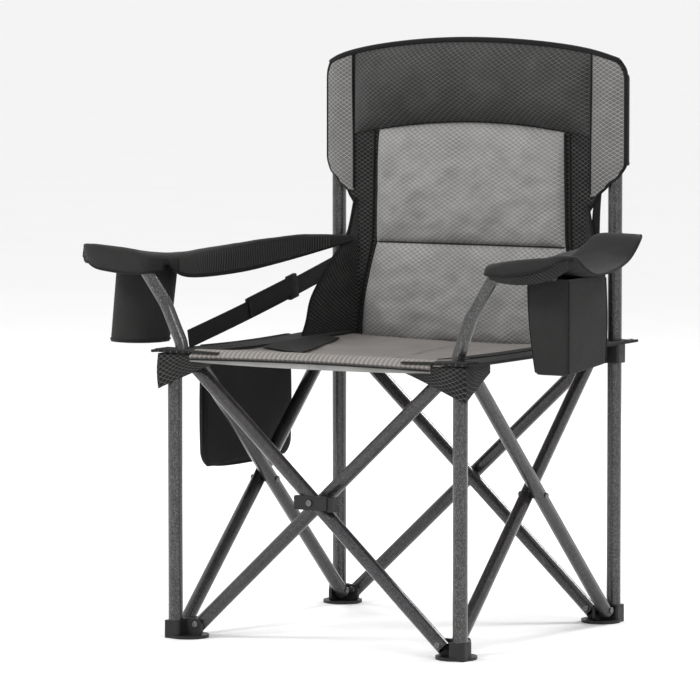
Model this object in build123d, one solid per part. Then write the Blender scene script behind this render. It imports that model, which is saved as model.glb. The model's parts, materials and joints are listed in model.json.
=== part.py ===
from build123d import *
import math
import os

# Folding camp chair. Millimetres, +Z up, the sitter faces -Y.
# Left and right are as seen from the front: -X is left, +X is right.
# The origin is on the floor in the middle of the square that the four legs stand on.

# ---- driving sizes ----
POST_HALF = 278.0        # half the distance between neighbouring legs, the same along X and Y
SEAT_TOP = 494.0         # top of the seat fabric at the hubs
BACK_TOP = 1016.0        # crown of the backrest
REAR_POST_TOP = 950.0
POST_OD, POST_WALL = 25.0, 1.2
CROSS_OD, CROSS_WALL = 24.0, 1.0
ARM_WALL = 1.0
PIVOT_INSET = 36.0       # leg axis to the cross tubes' pivots, along one side
PIVOT_LOW = 24.0         # height of the pivots at the feet
PIVOT_COVER = 9.0        # seat top above the cross tubes' tops at the hub pivots
TUBE_PAST_PIVOT = 8.0    # cross tube beyond its end pivots
PLANE_INSET = 11.4       # leg axis to the middle of each crossed pair
CROSS_GAP = 1.2          # daylight between two crossed tubes

# ---- clearances ----
SLIDE_FIT = 0.1          # radial, tube sliding in a tube or a slider on a leg
PIN_FIT = 0.05           # radial, tube turning on its rivet
SIDE_GAP = 0.5           # ear to tube
SOFT_GAP = 0.4           # fabric to anything that moves past it

# ---- plastic brackets and rivets ----
BRACKET_WALL = 2.5       # plastic around a leg
BLOCK_ROUND = 5.0
EAR_THICK = 6.0
EAR_PAST_PIVOT = 12.0
FOOT_PLATE_R, FOOT_PLATE_T = 35.0, 5.0
FOOT_SOCKET_H = 30.0
HUB_BELOW, HUB_ABOVE = 6.0, 2.0    # hub beyond the cross tube, below and above its pivot
PIN_R, HEAD_R, HEAD_T = 3.0, 5.5, 2.4

# ---- fabric ----
FABRIC_T = 5.6           # seat and band thickness
PAD_T = 13.0
BAND_INNER = 234.0       # inner edge of the seat's side bands, where the seat folds
CORNER_PAST_POST = 30.0  # seat corners beyond the leg axes
ARMREST_T = 8.0
POUCH_WALL = 4.0

post_r = POST_OD / 2
cross_r = CROSS_OD / 2
arm_r = post_r - POST_WALL - SLIDE_FIT
pin_hole_r = PIN_R + PIN_FIT
pivot_high = SEAT_TOP - PIVOT_COVER - cross_r
pivot_x = POST_HALF - PIVOT_INSET
pivot_rise = pivot_high - PIVOT_LOW
pivot_mid = (pivot_high + PIVOT_LOW) / 2
cross_length = math.hypot(2 * pivot_x, pivot_rise)
cross_angle = math.degrees(math.atan2(pivot_rise, 2 * pivot_x))
outer_in = PLANE_INSET - cross_r - CROSS_GAP / 2   # inboard offset of the outer tubes' centres
inner_in = PLANE_INSET + cross_r + CROSS_GAP / 2
block_half = post_r + BRACKET_WALL
hub_low = pivot_high - cross_r - HUB_BELOW
hub_high = pivot_high + cross_r + HUB_ABOVE
leg_top = hub_low - SIDE_GAP
seat_edge = POST_HALF + CORNER_PAST_POST
rivet_gap = 0.3

CORNERS = ("front_right", "rear_right", "rear_left", "front_left")
SIDES = ("front", "right", "rear", "left")


def write(name, shape):
    export_step(shape, f"parts/{name}.step")


def turn(quarters, shape):
    return Rot(0, 0, 90 * quarters) * shape


def box(x0, x1, y0, y1, z0, z1):
    size = (x1 - x0, y1 - y0, z1 - z0)
    return Pos((x0 + x1) / 2, (y0 + y1) / 2, (z0 + z1) / 2) * Box(*size)


def rod(radius, start, end):
    a, b = Vector(*start), Vector(*end)
    place = Plane(origin=a, z_dir=b - a)
    return place * Pos(0, 0, (b - a).length / 2) * Cylinder(radius, (b - a).length)


def prism(points, plane, depth):
    return extrude(plane * make_face(Polyline(*points, close=True)), depth)


# ---- the four crossed pairs ----
def cross_tube(slope):
    """A tube in the XZ plane through the origin; slope +1 falls towards +X."""
    length = cross_length + 2 * TUBE_PAST_PIVOT
    tube = Cylinder(cross_r, length) - Cylinder(cross_r - CROSS_WALL, length)
    for along in (-cross_length / 2, 0, cross_length / 2):
        tube -= Pos(0, 0, along) * Rot(90, 0, 0) * Cylinder(pin_hole_r, 2 * CROSS_OD)
    return Rot(0, 90 + slope * cross_angle, 0) * tube


def pin(start, end):
    """A rivet between two head seats, with a domed head on each."""
    a, b = Vector(*start), Vector(*end)
    along = (b - a).normalized()
    shank = rod(PIN_R, tuple(a), tuple(b))
    for seat, way in ((a, along * -1), (b, along)):
        head = Plane(origin=seat, z_dir=way) * Pos(0, 0, HEAD_T / 2) * Cylinder(HEAD_R, HEAD_T)
        rim = head.edges().filter_by(GeomType.CIRCLE).sort_by_distance(seat + way * HEAD_T)[0]
        shank += fillet(rim, HEAD_T * 0.45)
    return shank


def centre_rivet(extra):
    """The rivet of one crossed pair on the front side, longer outside by extra."""
    outside = -POST_HALF + outer_in - cross_r - rivet_gap - extra
    inside = -POST_HALF + inner_in + cross_r + rivet_gap
    rivet = pin((0, outside, pivot_mid), (0, inside, pivot_mid))
    middle = -POST_HALF + PLANE_INSET
    spacer_half = CROSS_GAP / 4
    spacer = rod(PIN_R * 2, (0, middle - spacer_half, pivot_mid), (0, middle + spacer_half, pivot_mid))
    return rivet + spacer


CLIP_T, CLIP_HALF_H = 7.0, 12.0
CLIP_LEFT = -30.0
CLIP_STOP, STOP_FIT = 10.5, 0.25   # width of the block that stands between the tubes, and its play
STOP_LOWER = 2.0         # how far the block sits below the plate


def front_clip():
    """Flat plastic clip on the front rivet, with a stop block between the tubes."""
    back = -POST_HALF + outer_in - cross_r - SIDE_GAP
    low, high = pivot_mid - CLIP_HALF_H, pivot_mid + CLIP_HALF_H
    tilt = math.radians(cross_angle)
    stop_left = (CLIP_HALF_H + STOP_LOWER + STOP_FIT + cross_r / math.cos(tilt)) / math.tan(tilt)
    stop_right = stop_left + CLIP_STOP + 0.5
    plate = box(CLIP_LEFT, stop_left + 0.5, back - CLIP_T, back, low, high)
    plate = fillet(plate.edges().filter_by(Axis.Y), 2.5)
    stop = box(stop_left, stop_right, back - CLIP_T + 2, -POST_HALF, low - STOP_LOWER, high - STOP_LOWER)
    hole = rod(pin_hole_r, (0, back - CLIP_T - 1, pivot_mid), (0, back + 1, pivot_mid))
    return plate + stop - hole


def build_crossed_pairs():
    for number, side in enumerate(SIDES):
        outer = Pos(0, -POST_HALF + outer_in, pivot_mid) * cross_tube(1)
        inner = Pos(0, -POST_HALF + inner_in, pivot_mid) * cross_tube(-1)
        clip_room = CLIP_T + 2 * SIDE_GAP if side == "front" else 0
        write(f"{side}_outer_cross_tube", turn(number, outer))
        write(f"{side}_inner_cross_tube", turn(number, inner))
        write(f"{side}_centre_rivet", turn(number, centre_rivet(clip_room)))
    write("front_cross_clip", front_clip())


# ---- feet and hubs: made for the front right corner, then turned to the other three ----
def ear(low, high, outer_tube):
    """A plate beside a cross tube's end, on the front side, in the corner's own frame."""
    if outer_tube:
        near = outer_in + cross_r + SIDE_GAP
        far = near + EAR_THICK
    else:
        far = inner_in - cross_r - SIDE_GAP
        near = far - EAR_THICK
    height = (low + high) / 2
    reach = PIVOT_INSET + EAR_PAST_PIVOT
    plate = box(-reach, 0, near, far, low, high)
    corners = plate.edges().filter_by(Axis.Y).group_by(Axis.X)[0]
    plate = fillet(corners, min(high - low, reach) * 0.3)
    pivot = PIVOT_LOW if height < pivot_mid else pivot_high
    if outer_tube:
        ends = (outer_in - cross_r - rivet_gap, far)
    else:
        ends = (near, inner_in + cross_r + rivet_gap)
    rivet = pin((-PIVOT_INSET, ends[0], pivot), (-PIVOT_INSET, ends[1], pivot))
    hole = rod(PIN_R, (-PIVOT_INSET, near - 1, pivot), (-PIVOT_INSET, far + 1, pivot))
    return plate - hole, rivet


def other_side(shape):
    """Swaps the corner's two inboard directions: -X and +Y."""
    return mirror(Rot(0, 0, -90) * shape, Plane.YZ)


def ear_pair(low, high, front_is_outer):
    front_plate, front_pin = ear(low, high, front_is_outer)
    side_plate, side_pin = ear(low, high, not front_is_outer)
    return front_plate + other_side(side_plate), [front_pin, other_side(side_pin)]


def foot():
    ears, pins = ear_pair(FOOT_PLATE_T - 1, PIVOT_LOW + 9, True)
    inboard = FOOT_PLATE_R - block_half - 4
    plate = Pos(-inboard, inboard, FOOT_PLATE_T / 2) * Cylinder(FOOT_PLATE_R, FOOT_PLATE_T)
    socket = box(-block_half, block_half, -block_half, block_half, 0, FOOT_SOCKET_H)
    socket = fillet(socket.edges().filter_by(Axis.Z), BLOCK_ROUND)
    bore = rod(post_r, (0, 0, FOOT_PLATE_T), (0, 0, FOOT_SOCKET_H + EAR_PAST_PIVOT))
    return plate + socket + ears - bore, pins


def hub_block():
    ears, pins = ear_pair(hub_low, hub_high, False)
    block = box(-block_half, block_half, -block_half, block_half, hub_low, hub_high)
    return fillet(block.edges().filter_by(Axis.Z), BLOCK_ROUND) + ears, pins


# ---- legs, rear posts and the bent arm tubes ----
ARM_INSERT = 265.0       # arm tube inside the leg when the chair is open
ARM_END_CAP = 6.0
ARM_CRANK = (13.0, 9.0)  # how far the tube is cranked inboard where it passes the seat
ARM_MID = (19.0, 2.5, 77.0)    # outboard, inboard, above the seat top
ARM_TOP = (68.0, 3.0, 151.0)
ARM_REACH = 170.0        # outer end of the arm tube, outboard of the leg axis
ARM_START = 5.0          # bottom of the hub to the first bend
ARM_RADII = (20.0, 42.0, 90.0, 36.0)


def arm_path():
    """Centre line in the front right corner's frame, from inside the leg to the outer end."""
    return [
        (0, 0, hub_low - ARM_INSERT),
        (0, 0, hub_low + ARM_START),
        (-ARM_CRANK[0], ARM_CRANK[1], SEAT_TOP - 1),
        (ARM_MID[0], ARM_MID[1], SEAT_TOP + ARM_MID[2]),
        (ARM_TOP[0], -ARM_TOP[1], SEAT_TOP + ARM_TOP[2]),
        (ARM_REACH, -ARM_TOP[1], SEAT_TOP + ARM_TOP[2] + 2),
    ]


def arm_rod(radius):
    line = FilletPolyline(*arm_path(), radius=list(ARM_RADII))
    return sweep(Plane(origin=line @ 0, z_dir=line % 0) * Circle(radius), path=line)


def build_corners():
    foot_shape, foot_pins = foot()
    hub_shape, hub_pins = hub_block()
    leg = Cylinder(post_r, 1) - Cylinder(post_r - POST_WALL, 1)
    for number, corner in enumerate(CORNERS):
        place = Pos(POST_HALF, -POST_HALF, 0)
        front = corner.startswith("front")
        write(f"{corner}_foot", turn(number, place * foot_shape))
        write(f"{corner}_foot_rivets", turn(number, place * Compound(children=foot_pins)))
        write(f"{corner}_hub_rivets", turn(number, place * Compound(children=hub_pins)))
        top = leg_top if front else REAR_POST_TOP
        height = top - FOOT_PLATE_T
        leg = Cylinder(post_r, height) - Cylinder(post_r - POST_WALL, height)
        leg = Pos(0, 0, FOOT_PLATE_T + height / 2) * leg
        write(f"{corner}_leg" if front else f"{corner}_post", turn(number, place * leg))
        if not front:
            bore = rod(post_r + SLIDE_FIT, (0, 0, hub_low - 1), (0, 0, hub_high + 1))
            write(f"{corner}_slider", turn(number, place * (hub_shape - bore)))
            cap = Cylinder(post_r, 4) + Pos(0, 0, -8) * Cylinder(post_r - POST_WALL, 12)
            cap = fillet(cap.edges().group_by(Axis.Z)[-1], 2)
            write(f"{corner}_post_cap", turn(number, place * Pos(0, 0, REAR_POST_TOP + 2) * cap))
    rod_solid = arm_rod(arm_r)
    tube = rod_solid - arm_rod(arm_r - ARM_WALL)
    hub_front = hub_shape - rod_solid
    end = Vector(*arm_path()[-1])
    cap_place = Plane(origin=end, z_dir=end - Vector(*arm_path()[-2]))
    cap = cap_place * Pos(0, 0, ARM_END_CAP / 2) * Cylinder(arm_r, ARM_END_CAP)
    cap += cap_place * Pos(0, 0, -6) * Cylinder(arm_r - ARM_WALL, 12)
    right = Pos(POST_HALF, -POST_HALF, 0)
    write("front_right_hub", right * hub_front)
    write("front_left_hub", turn(3, right * hub_front_left(hub_shape, rod_solid)))
    for name, shape in (("arm_tube", tube), ("arm_tube_cap", cap)):
        write(f"right_{name}", right * shape)
        write(f"left_{name}", mirror(right * shape, Plane.YZ))


def hub_front_left(hub_shape, rod_solid):
    """The left arm tube mirrors the right one, so its bore is mirrored before the quarter turn."""
    return hub_shape - other_side(rod_solid)


# ---- seat ----
def build_seat():
    low = hub_high + SOFT_GAP + 0.6
    post_hole = post_r + 2.0
    arm_in = ARM_CRANK[0]
    for side, name in ((-1, "left"), (1, "right")):
        band = box(BAND_INNER, seat_edge, -seat_edge, seat_edge, low, low + FABRIC_T)
        band -= rod(post_hole, (POST_HALF, POST_HALF, low - 5), (POST_HALF, POST_HALF, low + 20))
        slot = box(POST_HALF - arm_in - arm_r - 5, POST_HALF - arm_in + arm_r + 5,
                   -POST_HALF - arm_r + 2, -POST_HALF + 2 * arm_r + 6, low - 5, low + 20)
        band -= slot
        panel = box(0.4, BAND_INNER - 0.4, -seat_edge + 6, POST_HALF - 16, low, low + FABRIC_T + 1.4)
        for part_name, shape in (("side_band", band), ("seat_panel", panel)):
            write(f"{name}_{part_name}", shape if side > 0 else mirror(shape, Plane.YZ))


POCKET_WIDE, POCKET_SIDE, POCKET_DROP = 100.0, 80.0, 60.0
POCKET_T = 3.0


def build_corner_pockets():
    """Fabric gussets that hang over the front hubs, on the front face and the outer side."""
    out = -outer_in + cross_r + 3.0 + HEAD_T + rivet_gap
    top = hub_high + SOFT_GAP
    edge = POST_HALF + out
    for side, name in ((-1, "left"), (1, "right")):
        front = prism(
            [(POST_HALF - POCKET_WIDE, top), (edge + POCKET_T, top), (edge + POCKET_T, top - POCKET_DROP * 0.8),
             (POST_HALF, top - POCKET_DROP)],
            Plane.XZ.offset(edge), POCKET_T)
        flank = prism(
            [(-POST_HALF + POCKET_SIDE, top), (-edge, top), (-edge, top - POCKET_DROP * 0.8),
             (-POST_HALF, top - POCKET_DROP)],
            Plane.YZ.offset(edge), POCKET_T)
        shape = front + flank
        write(f"{name}_corner_pocket", shape if side > 0 else mirror(shape, Plane.YZ))


# ---- back ----
BACK_FACE_GAP = 1.0      # fabric in front of the posts
PANEL_T = 7.6
SLEEVE_HALF = 26.0       # half the width of the sleeves that hold the posts
SLEEVE_T = 17.0          # half the sleeves' depth
SLEEVE_LOW = BACK_TOP - 221
SLEEVE_TOP = BACK_TOP - 48
WAIST_HALF, WAIST_Z = POST_HALF - 50, SEAT_TOP + 203
LOWER_HALF, LOWER_Z = POST_HALF - 38, SEAT_TOP + 11
BOLSTER_HALF, BOLSTER_LOW, BOLSTER_TOP = POST_HALF - 43, BACK_TOP - 166, BACK_TOP - 16
PAD_HALF, PAD_SEAM_Z = POST_HALF - 88, SEAT_TOP + 161
PAD_GAP = 1.0
GUSSET_TOP = SEAT_TOP + 146


def build_back():
    front = POST_HALF - post_r - BACK_FACE_GAP
    half = POST_HALF + SLEEVE_HALF
    arch = ThreePointArc((half - 20, SLEEVE_TOP + 14), (0, BACK_TOP), (-half + 20, SLEEVE_TOP + 14))
    left = Polyline((-half + 20, SLEEVE_TOP + 14), (-half, SLEEVE_TOP - 8), (-half, SLEEVE_LOW),
                    (-WAIST_HALF, WAIST_Z), (-LOWER_HALF, LOWER_Z))
    right = Polyline((LOWER_HALF, LOWER_Z), (WAIST_HALF, WAIST_Z), (half, SLEEVE_LOW),
                     (half, SLEEVE_TOP - 8), (half - 20, SLEEVE_TOP + 14))
    bottom = Line((-LOWER_HALF, LOWER_Z), (LOWER_HALF, LOWER_Z))
    outline = make_face([arch, left, bottom, right])
    panel = extrude(Plane.XZ.offset(-front) * outline, PANEL_T)
    write("back_panel", panel)
    for side, name in ((-1, "left"), (1, "right")):
        sleeve = box(POST_HALF - SLEEVE_HALF, half, front + SOFT_GAP, POST_HALF + SLEEVE_T,
                     SLEEVE_LOW, SLEEVE_TOP - 12)
        room = post_r + SOFT_GAP
        sleeve -= rod(room, (POST_HALF, POST_HALF, SLEEVE_LOW - 1), (POST_HALF, POST_HALF, REAR_POST_TOP + 5))
        write(f"{name}_post_sleeve", sleeve if side > 0 else mirror(sleeve, Plane.YZ))
    pad_back = front - PANEL_T - PAD_GAP / 2
    for name, wide, low, high, thick in (
        ("headrest_bolster", BOLSTER_HALF, BOLSTER_LOW, BOLSTER_TOP, PAD_T + 4),
        ("upper_back_pad", PAD_HALF, PAD_SEAM_Z + PAD_GAP / 2, BOLSTER_LOW - PAD_GAP, PAD_T),
        ("lower_back_pad", PAD_HALF, LOWER_Z + 3, PAD_SEAM_Z - PAD_GAP / 2, PAD_T),
    ):
        pad = box(-wide, wide, pad_back - thick, pad_back, low, high)
        write(name, fillet(pad.edges().group_by(Axis.Y)[0], 4))
    for side, name in ((-1, "left"), (1, "right")):
        gusset = prism([(front - PANEL_T - 1, GUSSET_TOP), (front - PANEL_T - 1, LOWER_Z),
                        (front - PANEL_T - 110, LOWER_Z)],
                       Plane.YZ.offset(LOWER_HALF + 2), 6)
        write(f"{name}_back_gusset", gusset if side > 0 else mirror(gusset, Plane.YZ))


# ---- armrests, holders, pocket and strap ----
ARMREST_OUTER = POST_HALF + 210
ARMREST_INNER = POST_HALF + 19
ARMREST_FRONT = POST_HALF + ARM_TOP[1] + arm_r - 0.2    # front edge, forward of the origin
ARMREST_GAP = 1.5        # fabric over the arm tube
CUP_AT = (POST_HALF + 108, 84 - POST_HALF)
CUP_R, CUP_DEEP = 53.0, 139.0
POUCH_X, POUCH_Y = (POST_HALF + 110, POST_HALF + 186), (24 - POST_HALF, 162 - POST_HALF)
POUCH_DEEP = 158.0
SKIRT_T = 2.5            # cloth that hangs at an armrest's edges
SKIRT_GAP = 1.5
FRONT_SKIRT_DROP, FRONT_SKIRT_X = 31.7, (POST_HALF + 44, POST_HALF + 180)

# Height of each armrest's underside from front to rear, measured from the top of the arm tube.
# Both dip behind the tube; the right one lifts again at its outer middle.
DIPS = {
    "left": ((-266, 0), (-250, -23), (-60, -23), (75, -8), (170, 0), (260, 0)),
    "right": ((-266, 0), (-250, -23), (-112, -23), (-41, 22), (20, 2), (75, -6), (170, 0), (260, 0)),
}
# Places along Y and heights of the left one's inner hanging edge, below the same tube.
INNER_SKIRT = ((-226, -33.7), (-161, -45.7), (-29, -47.7), (60, -37.7))


def armrest_outline():
    return [
        (ARMREST_INNER, -226), (ARMREST_INNER + 25, -ARMREST_FRONT), (ARMREST_OUTER - 26, -ARMREST_FRONT),
        (ARMREST_OUTER, -240), (ARMREST_OUTER, -80), (ARMREST_OUTER - 58, 60), (POST_HALF + 58, 190),
        (POST_HALF - 26, POST_HALF - 24), (POST_HALF - 38, POST_HALF - 36), (POST_HALF + 14, 150),
        (ARMREST_INNER, 0),
    ]


def armrest(name, low):
    """One armrest as on the right side: a bent slab cut to the outline, with its hanging edge."""
    under = [(-ARMREST_FRONT - 5, low)] + [(y, low + dip) for y, dip in DIPS[name]]
    over = [(y, z + ARMREST_T) for y, z in reversed(under)]
    bent = prism(under + over, Plane.YZ.offset(POST_HALF - 78), ARMREST_OUTER)
    slab = bent & prism(armrest_outline(), Plane.XY.offset(low - 60), 140)
    front = ARMREST_FRONT + SKIRT_GAP
    x0, x1 = FRONT_SKIRT_X
    slab += box(x0, x1, -front - SKIRT_T, -front, low - FRONT_SKIRT_DROP, low + ARMREST_T)
    slab += box(x0, x1, -front - SKIRT_T, -ARMREST_FRONT + 4, low, low + ARMREST_T)
    if name == "left":
        hem = [(y, low + drop) for y, drop in INNER_SKIRT]
        top = [(y, low - 16) for y, _ in reversed(INNER_SKIRT)]
        slab += prism(hem + top, Plane.YZ.offset(ARMREST_INNER), SKIRT_T)
    return slab


def build_armrests():
    low = SEAT_TOP + ARM_TOP[2] + arm_r + 2 + ARMREST_GAP
    holder_top = low + min(dip for _, dip in DIPS["left"]) - SOFT_GAP
    cup_at = Vector(-CUP_AT[0], CUP_AT[1])
    mouth = rod(CUP_R - POUCH_WALL - 1, (cup_at.X, cup_at.Y, low - 60), (cup_at.X, cup_at.Y, low + 40))
    write("left_armrest", mirror(armrest("left", low), Plane.YZ) - mouth)
    write("right_armrest", armrest("right", low))
    cup = rod(CUP_R, (cup_at.X, cup_at.Y, holder_top - CUP_DEEP), (cup_at.X, cup_at.Y, holder_top))
    cup -= rod(CUP_R - POUCH_WALL, (cup_at.X, cup_at.Y, holder_top - CUP_DEEP + POUCH_WALL),
               (cup_at.X, cup_at.Y, holder_top + 1))
    write("cup_holder", cup)
    (x0, x1), (y0, y1) = POUCH_X, POUCH_Y
    pouch = box(x0, x1, y0, y1, holder_top - POUCH_DEEP, holder_top)
    pouch = fillet(pouch.edges().filter_by(Axis.Z), 12)
    pouch -= box(x0 + POUCH_WALL, x1 - POUCH_WALL, y0 + POUCH_WALL, y1 - POUCH_WALL,
                 holder_top - POUCH_DEEP + POUCH_WALL, holder_top + 1)
    write("drink_pouch", pouch)


SIDE_POCKET_X = POST_HALF + CORNER_PAST_POST + 4
SIDE_POCKET_Y, SIDE_POCKET_Z = (-127.0, 171.0), (SEAT_TOP - 222, SEAT_TOP - 4)
SIDE_POCKET_T, SIDE_POCKET_WALL = 14.0, 2.5
STRAP_FROM = (-POST_HALF - 14, 65 - POST_HALF, SEAT_TOP + 19)
STRAP_TO = (4 - POST_HALF, POST_HALF - 28, SEAT_TOP + 115)
STRAP_WIDE, STRAP_T = 32.0, 2.0
SLIDES_AT = (0.40, 0.70)   # places of the two slides along the strap


def build_pocket_and_strap():
    (y0, y1), (z0, z1) = SIDE_POCKET_Y, SIDE_POCKET_Z
    wall = SIDE_POCKET_WALL
    pocket = box(-SIDE_POCKET_X - SIDE_POCKET_T, -SIDE_POCKET_X, y0, y1, z0, z1)
    pocket = fillet(pocket.edges().filter_by(Axis.X).group_by(Axis.Z)[0], 26)
    pocket -= box(-SIDE_POCKET_X - SIDE_POCKET_T + wall, -SIDE_POCKET_X - wall, y0 + 28, y1 - 28, z0 + wall, z1 + 1)
    write("side_pocket", pocket)
    start, end = Vector(*STRAP_FROM), Vector(*STRAP_TO)
    run = end - start
    slope = math.degrees(math.asin(run.Z / run.length))
    inward = -math.degrees(math.atan2(run.X, run.Y))
    lay = Pos(*((start + end) * 0.5)) * Rot(0, 0, inward) * Rot(slope, 0, 0)
    write("side_strap", lay * Box(STRAP_T, run.length, STRAP_WIDE))
    slides = []
    for share in SLIDES_AT:
        slide = Box(5, 26, STRAP_WIDE + 8) - Box(STRAP_T + 0.1, 27, STRAP_WIDE + 0.1)
        slides.append(lay * Pos(0, (share - 0.5) * run.length, 0) * slide)
    write("strap_slides", Compound(children=slides))


def main():
    os.makedirs("parts", exist_ok=True)
    build_crossed_pairs()
    build_corners()
    build_seat()
    build_corner_pockets()
    build_back()
    build_armrests()
    build_pocket_and_strap()


main()
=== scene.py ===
import json
import math

import bpy
from mathutils import Vector, noise
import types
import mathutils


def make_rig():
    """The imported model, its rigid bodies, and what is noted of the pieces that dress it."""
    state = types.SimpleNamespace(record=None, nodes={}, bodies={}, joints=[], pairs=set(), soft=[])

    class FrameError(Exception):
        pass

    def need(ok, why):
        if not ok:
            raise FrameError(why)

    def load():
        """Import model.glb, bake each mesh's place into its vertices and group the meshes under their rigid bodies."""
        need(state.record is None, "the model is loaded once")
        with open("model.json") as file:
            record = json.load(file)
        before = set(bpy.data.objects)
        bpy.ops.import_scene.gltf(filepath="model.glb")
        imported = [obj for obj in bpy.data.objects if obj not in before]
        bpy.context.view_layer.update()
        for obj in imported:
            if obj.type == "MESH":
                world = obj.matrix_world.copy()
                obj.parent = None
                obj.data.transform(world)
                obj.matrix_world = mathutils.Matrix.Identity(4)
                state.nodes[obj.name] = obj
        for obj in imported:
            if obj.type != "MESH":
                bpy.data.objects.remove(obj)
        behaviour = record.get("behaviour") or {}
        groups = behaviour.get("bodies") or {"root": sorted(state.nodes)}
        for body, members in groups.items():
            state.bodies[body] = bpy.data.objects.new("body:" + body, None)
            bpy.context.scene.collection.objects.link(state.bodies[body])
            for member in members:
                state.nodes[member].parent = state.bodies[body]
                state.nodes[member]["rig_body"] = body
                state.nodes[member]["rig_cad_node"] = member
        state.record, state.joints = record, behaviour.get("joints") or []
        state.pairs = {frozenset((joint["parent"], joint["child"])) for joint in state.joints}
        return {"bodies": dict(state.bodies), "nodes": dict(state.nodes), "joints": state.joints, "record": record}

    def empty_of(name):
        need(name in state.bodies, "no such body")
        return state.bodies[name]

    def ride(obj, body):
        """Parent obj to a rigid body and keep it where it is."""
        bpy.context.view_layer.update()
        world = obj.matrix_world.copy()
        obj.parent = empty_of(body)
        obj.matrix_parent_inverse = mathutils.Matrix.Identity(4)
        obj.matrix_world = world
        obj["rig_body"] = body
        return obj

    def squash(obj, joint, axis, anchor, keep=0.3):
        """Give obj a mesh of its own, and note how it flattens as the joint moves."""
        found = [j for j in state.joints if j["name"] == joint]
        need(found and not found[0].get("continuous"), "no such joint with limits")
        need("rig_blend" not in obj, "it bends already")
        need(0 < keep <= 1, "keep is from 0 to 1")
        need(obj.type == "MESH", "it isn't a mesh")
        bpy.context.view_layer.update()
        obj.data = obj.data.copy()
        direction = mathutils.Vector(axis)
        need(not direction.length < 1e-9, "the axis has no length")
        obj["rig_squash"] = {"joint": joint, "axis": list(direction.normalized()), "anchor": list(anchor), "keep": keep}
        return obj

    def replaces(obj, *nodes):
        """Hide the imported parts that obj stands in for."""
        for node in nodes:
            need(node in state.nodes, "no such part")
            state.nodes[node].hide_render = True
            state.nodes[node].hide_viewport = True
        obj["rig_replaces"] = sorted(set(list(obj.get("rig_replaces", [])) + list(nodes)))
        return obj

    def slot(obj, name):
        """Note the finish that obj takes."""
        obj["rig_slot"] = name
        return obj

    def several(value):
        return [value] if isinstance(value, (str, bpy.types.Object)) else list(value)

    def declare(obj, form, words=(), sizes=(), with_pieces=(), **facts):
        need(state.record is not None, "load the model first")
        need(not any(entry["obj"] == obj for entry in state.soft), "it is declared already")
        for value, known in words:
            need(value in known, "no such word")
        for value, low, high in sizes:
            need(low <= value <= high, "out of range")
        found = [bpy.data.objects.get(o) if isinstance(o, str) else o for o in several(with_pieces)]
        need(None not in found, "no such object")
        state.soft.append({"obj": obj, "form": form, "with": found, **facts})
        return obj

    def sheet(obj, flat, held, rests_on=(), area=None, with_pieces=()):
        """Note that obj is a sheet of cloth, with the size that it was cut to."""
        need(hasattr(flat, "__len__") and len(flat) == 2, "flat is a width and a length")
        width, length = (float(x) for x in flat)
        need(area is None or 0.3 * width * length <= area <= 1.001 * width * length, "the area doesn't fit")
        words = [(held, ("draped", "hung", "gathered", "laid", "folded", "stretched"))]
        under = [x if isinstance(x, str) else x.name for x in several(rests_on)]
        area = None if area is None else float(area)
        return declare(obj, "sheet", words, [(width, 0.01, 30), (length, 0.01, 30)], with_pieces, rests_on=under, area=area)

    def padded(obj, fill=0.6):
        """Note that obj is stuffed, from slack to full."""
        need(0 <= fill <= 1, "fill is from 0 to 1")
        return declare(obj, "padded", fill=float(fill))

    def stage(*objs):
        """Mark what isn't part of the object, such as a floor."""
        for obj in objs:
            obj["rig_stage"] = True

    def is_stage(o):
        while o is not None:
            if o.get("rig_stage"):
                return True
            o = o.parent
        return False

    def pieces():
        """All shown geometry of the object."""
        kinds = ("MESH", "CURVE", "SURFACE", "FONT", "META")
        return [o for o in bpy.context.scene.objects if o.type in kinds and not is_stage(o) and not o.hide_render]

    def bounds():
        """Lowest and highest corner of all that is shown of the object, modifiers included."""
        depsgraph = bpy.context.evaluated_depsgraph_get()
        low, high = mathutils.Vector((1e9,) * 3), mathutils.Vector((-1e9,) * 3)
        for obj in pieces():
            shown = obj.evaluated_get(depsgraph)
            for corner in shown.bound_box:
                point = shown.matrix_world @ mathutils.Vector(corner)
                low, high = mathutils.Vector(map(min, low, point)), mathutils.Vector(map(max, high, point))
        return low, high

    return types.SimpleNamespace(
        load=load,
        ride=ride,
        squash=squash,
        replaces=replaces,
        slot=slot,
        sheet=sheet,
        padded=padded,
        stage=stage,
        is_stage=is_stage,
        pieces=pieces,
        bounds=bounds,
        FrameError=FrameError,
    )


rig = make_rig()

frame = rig.load()
cad_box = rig.bounds()

# The sitter faces -Y. Left is -X and right is +X, as seen from the front. Lengths in the
# tables below are millimetres.
MM = 0.001
POST = 278.0
FOLD = "fold"

# ---------------------------------------------------------------- materials


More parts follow.
